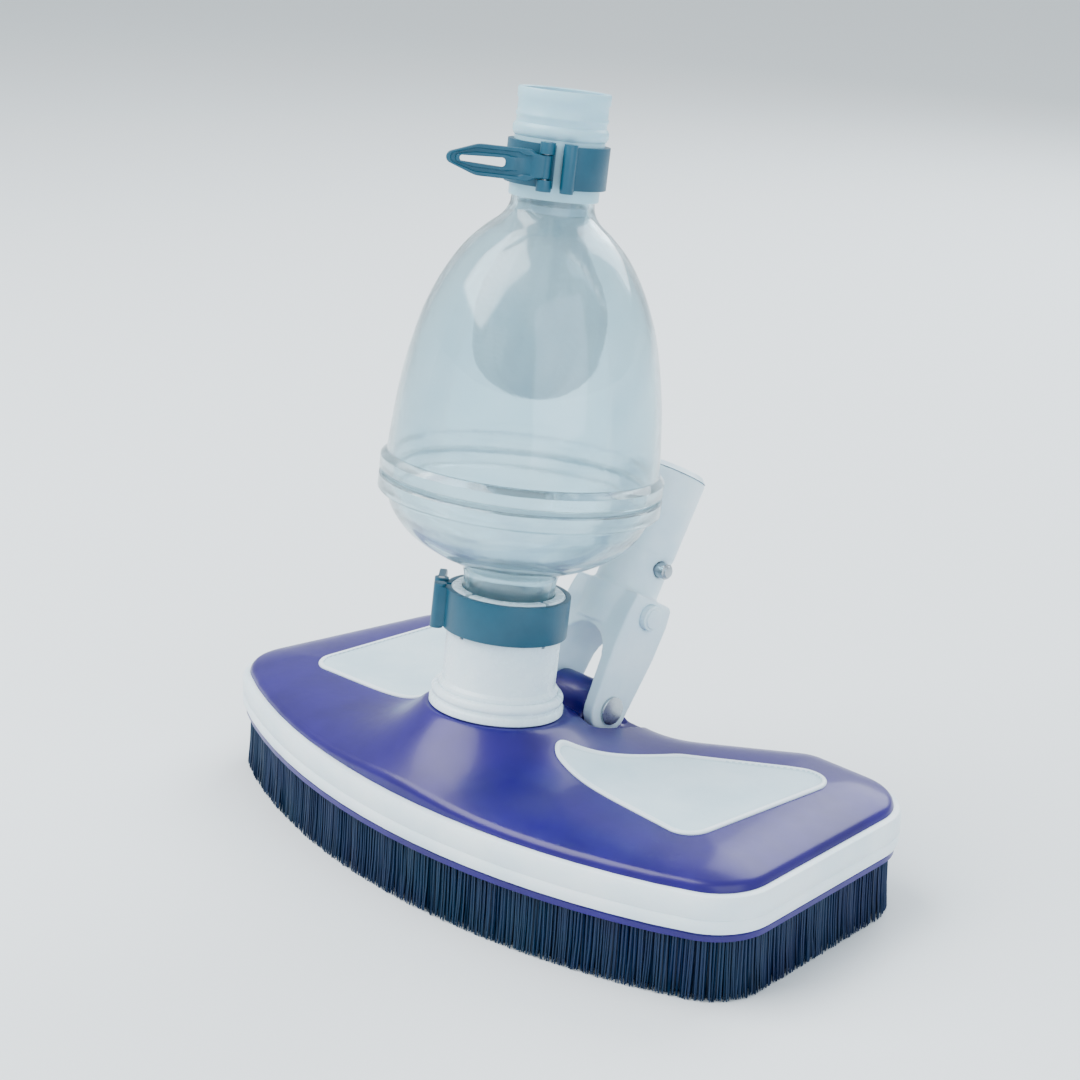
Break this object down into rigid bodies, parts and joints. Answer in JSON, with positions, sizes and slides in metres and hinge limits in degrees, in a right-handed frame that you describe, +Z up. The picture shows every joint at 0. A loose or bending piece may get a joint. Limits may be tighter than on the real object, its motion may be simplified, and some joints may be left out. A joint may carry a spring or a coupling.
{
  "type": "manual pool vacuum head",
  "caption": "Wide pool vacuum head with bristle skirt, bumper, tilted spigot, clear egg-shaped debris trap, two band clamps and a hinged pole yoke.",
  "frame": {"origin": "on the floor under the middle of the part's bounding box", "axes": "+X to the right, the long convex front edge faces -Y, +Z up"},
  "size_m": [0.2823, 0.1579, 0.2925],
  "materials": {
    "cover_plastic": "polished blue-violet",
    "window_plastic": "white, satin",
    "bumper_rubber": "white, soft satin",
    "base_plastic": "dark navy, fine grain",
    "duct_plastic": "satin",
    "ballast_iron": "dipped",
    "steel": "stainless",
    "spring_steel": "stainless leaf",
    "bristle": "dark navy nylon bristle",
    "white_plastic": "white, moulded",
    "seal_rubber": "matt",
    "trap_clear": "clear, slightly frosted",
    "bag_mesh": "fine white mesh",
    "cuff_plastic": "translucent soft vinyl",
    "clamp_plastic": "grey-teal, satin",
    "yoke_plastic": "white, moulded"
  },
  "bodies": {
    "head": {"top_cover": "cover_plastic", "window_left": "window_plastic", "window_right": "window_plastic", "bumper": "bumper_rubber", "base_plate": "base_plastic", "suction_duct": "duct_plastic", "ballast_left": "ballast_iron", "ballast_right": "ballast_iron", "cover_screws": "steel", "brush_front": "bristle", "brush_back": "bristle", "brush_left": "bristle", "brush_right": "bristle", "spigot": "white_plastic", "spigot_ring": "white_plastic", "neck_seal": "seal_rubber", "trap_bowl": "trap_clear", "seam_seal": "seal_rubber", "lower_clamp_band": "clamp_plastic", "lower_clamp_pin": "steel"},
    "lower_lever": {"lower_clamp_lever": "clamp_plastic"},
    "dome": {"trap_dome": "trap_clear", "bag_ring": "white_plastic", "debris_bag": "bag_mesh", "hose_cuff": "cuff_plastic", "upper_clamp_band": "clamp_plastic", "upper_clamp_pin": "steel"},
    "upper_lever": {"upper_clamp_lever": "clamp_plastic"},
    "yoke": {"yoke": "yoke_plastic", "hinge_pin": "steel", "hinge_cap": "yoke_plastic", "shank_plug": "yoke_plastic", "clip_bend": "spring_steel"},
    "catch_left": {"clip_leg_left": "spring_steel", "snap_pin_left": "steel", "release_button_left": "yoke_plastic"},
    "catch_right": {"clip_leg_right": "spring_steel", "snap_pin_right": "steel", "release_button_right": "yoke_plastic"}
  },
  "joints": [
    {"name": "yoke_hinge", "type": "hinge", "parent": "head", "child": "yoke", "pos_m": [0, 0.019, 0.054], "axis": [-1, 0, 0], "range_deg": [-8, 45]},
    {"name": "dome_twist", "type": "hinge", "parent": "head", "child": "dome", "pos_m": [0, -0.01555, 0.16145], "axis": [0, 0.1045, 0.9945], "range_deg": [0, 20]},
    {"name": "lower_lever_hinge", "type": "hinge", "parent": "head", "child": "lower_lever", "pos_m": [-0.02111, -0.03683, 0.10135], "axis": [0, 0.1045, 0.9945], "range_deg": [0, 100]},
    {"name": "upper_lever_hinge", "type": "hinge", "parent": "dome", "child": "upper_lever", "pos_m": [0.01185, -0.02165, 0.26667], "axis": [0, 0.1045, 0.9945], "range_deg": [0, 100]},
    {"name": "catch_left_press", "type": "slide", "parent": "yoke", "child": "catch_left", "axis": [1, 0, 0], "range_m": [0, 0.003], "stiffness_N_per_m": 800},
    {"name": "catch_right_press", "type": "slide", "parent": "yoke", "child": "catch_right", "axis": [-1, 0, 0], "range_m": [0, 0.003], "stiffness_N_per_m": 800}
  ]
}
